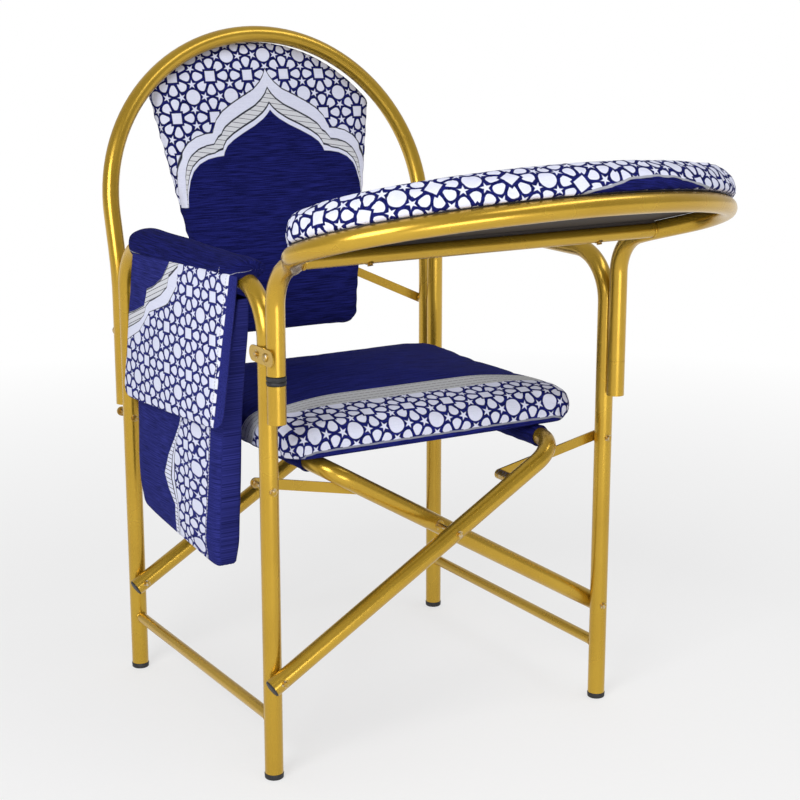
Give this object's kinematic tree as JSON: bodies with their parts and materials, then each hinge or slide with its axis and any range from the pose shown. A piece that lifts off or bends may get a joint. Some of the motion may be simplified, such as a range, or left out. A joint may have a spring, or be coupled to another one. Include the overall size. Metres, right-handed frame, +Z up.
{
  "type": "folding prayer chair",
  "caption": "Folding chair of gold tube on crossing frames, with a padded seat, an arched padded back, a swing-out padded table and a fabric side bag",
  "frame": {"origin": "middle of the chair's outline on the floor", "axes": "+Z up, the chair faces -Y, +X is the viewer's right"},
  "size_m": [0.639, 0.9472, 0.9678],
  "materials": {
    "gold_tube": "gold metallic paint",
    "fastener": "plated",
    "black_plastic": "moulded",
    "rubber": "moulded",
    "navy_fabric": "slub weave",
    "lattice_fabric": "woven lattice pattern",
    "board": "dark cloth over board"
  },
  "bodies": {
    "left_frame": {"left_side_tube": "gold_tube", "left_stretcher": "gold_tube", "left_front_foot": "rubber", "left_rear_foot": "rubber", "left_front_pivot_rivet": "fastener", "left_rear_pivot_rivet": "fastener", "left_front_link_rivet": "fastener", "left_rear_link_rivet": "fastener", "left_table_socket": "gold_tube", "left_socket_bush": "black_plastic", "keeper_plate": "gold_tube", "keeper_leg_rivet": "fastener", "back_pin_lower": "fastener", "back_pin_upper": "fastener", "left_arm_cover": "navy_fabric", "side_bag": "navy_fabric", "bag_flap": "lattice_fabric"},
    "cross_a": {"cross_tube_a": "gold_tube", "cross_a_front_plug": "black_plastic", "cross_a_rear_plug": "black_plastic", "front_crossing_rivet": "fastener", "rear_crossing_rivet": "fastener"},
    "cross_b": {"cross_tube_b": "gold_tube", "cross_b_front_plug": "black_plastic", "cross_b_rear_plug": "black_plastic", "seat_sleeve_left": "navy_fabric"},
    "right_frame": {"right_side_tube": "gold_tube", "right_stretcher": "gold_tube", "right_front_foot": "rubber", "right_rear_foot": "rubber", "right_front_pivot_rivet": "fastener", "right_rear_pivot_rivet": "fastener", "right_front_link_rivet": "fastener", "right_rear_link_rivet": "fastener", "right_table_socket": "gold_tube", "right_arm_pad": "navy_fabric", "arm_pad_screw": "fastener"},
    "left_links": {"left_front_link": "gold_tube", "left_rear_link": "gold_tube", "left_front_inner_rivet": "fastener", "left_rear_inner_rivet": "fastener"},
    "right_links": {"right_front_link": "gold_tube", "right_rear_link": "gold_tube", "right_front_inner_rivet": "fastener", "right_rear_inner_rivet": "fastener"},
    "seat": {"seat_cushion": "navy_fabric", "seat_sleeve_right": "navy_fabric"},
    "table": {"table_ring_tube": "gold_tube", "table_rear_bar": "gold_tube", "table_board": "board", "table_pad": "lattice_fabric", "table_pivot_pin": "fastener", "table_left_screw": "fastener", "table_right_screw": "fastener"},
    "back": {"back_arch_tube": "gold_tube", "back_pad": "lattice_fabric", "left_back_stay": "gold_tube", "right_back_stay": "gold_tube", "left_stay_rivet": "fastener", "right_stay_rivet": "fastener"}
  },
  "joints": [
    {"name": "frame_fold", "type": "hinge", "parent": "left_frame", "child": "cross_a", "pos_m": [-0.268, 0.10277, 0.146], "axis": [0, -1, 0], "range_deg": [0, 42]},
    {"name": "cross_pivot", "type": "hinge", "parent": "cross_a", "child": "cross_b", "pos_m": [0, 0.10277, 0.30576], "axis": [0, -1, 0], "range_deg": [-84.1, 0]},
    {"name": "right_pivot", "type": "hinge", "parent": "cross_b", "child": "right_frame", "pos_m": [0.268, 0.10277, 0.146], "axis": [0, -1, 0], "range_deg": [0, 42.1]},
    {"name": "left_link_turn", "type": "hinge", "parent": "left_frame", "child": "left_links", "pos_m": [-0.268, 0.10277, 0.3995], "axis": [0, -1, 0], "range_deg": [0, 81.3]},
    {"name": "right_link_turn", "type": "hinge", "parent": "right_frame", "child": "right_links", "pos_m": [0.268, 0.10277, 0.3995], "axis": [0, -1, 0], "range_deg": [-81.3, 0]},
    {"name": "seat_level", "type": "hinge", "parent": "cross_a", "child": "seat", "pos_m": [0.17179, 0.10277, 0.40817], "axis": [0, -1, 0], "range_deg": [-42.1, 0], "deforming": ["seat_cushion"]},
    {"name": "table_swing", "type": "hinge", "parent": "left_frame", "child": "table", "pos_m": [-0.268, -0.15163, 0.5556], "axis": [0, 0, -1], "range_deg": [0, 110]},
    {"name": "back_lift", "type": "slide", "parent": "left_frame", "child": "back", "axis": [0, 0, 1], "range_m": [0, 0.19]}
  ],
  "couplings": [
    {"joint": "cross_pivot", "follows": "frame_fold", "ratio": -2},
    {"joint": "right_pivot", "follows": "frame_fold", "ratio": 1},
    {"joint": "left_link_turn", "follows": "frame_fold", "ratio": 1.932},
    {"joint": "right_link_turn", "follows": "frame_fold", "ratio": -1.932},
    {"joint": "seat_level", "follows": "frame_fold", "ratio": -1}
  ]
}
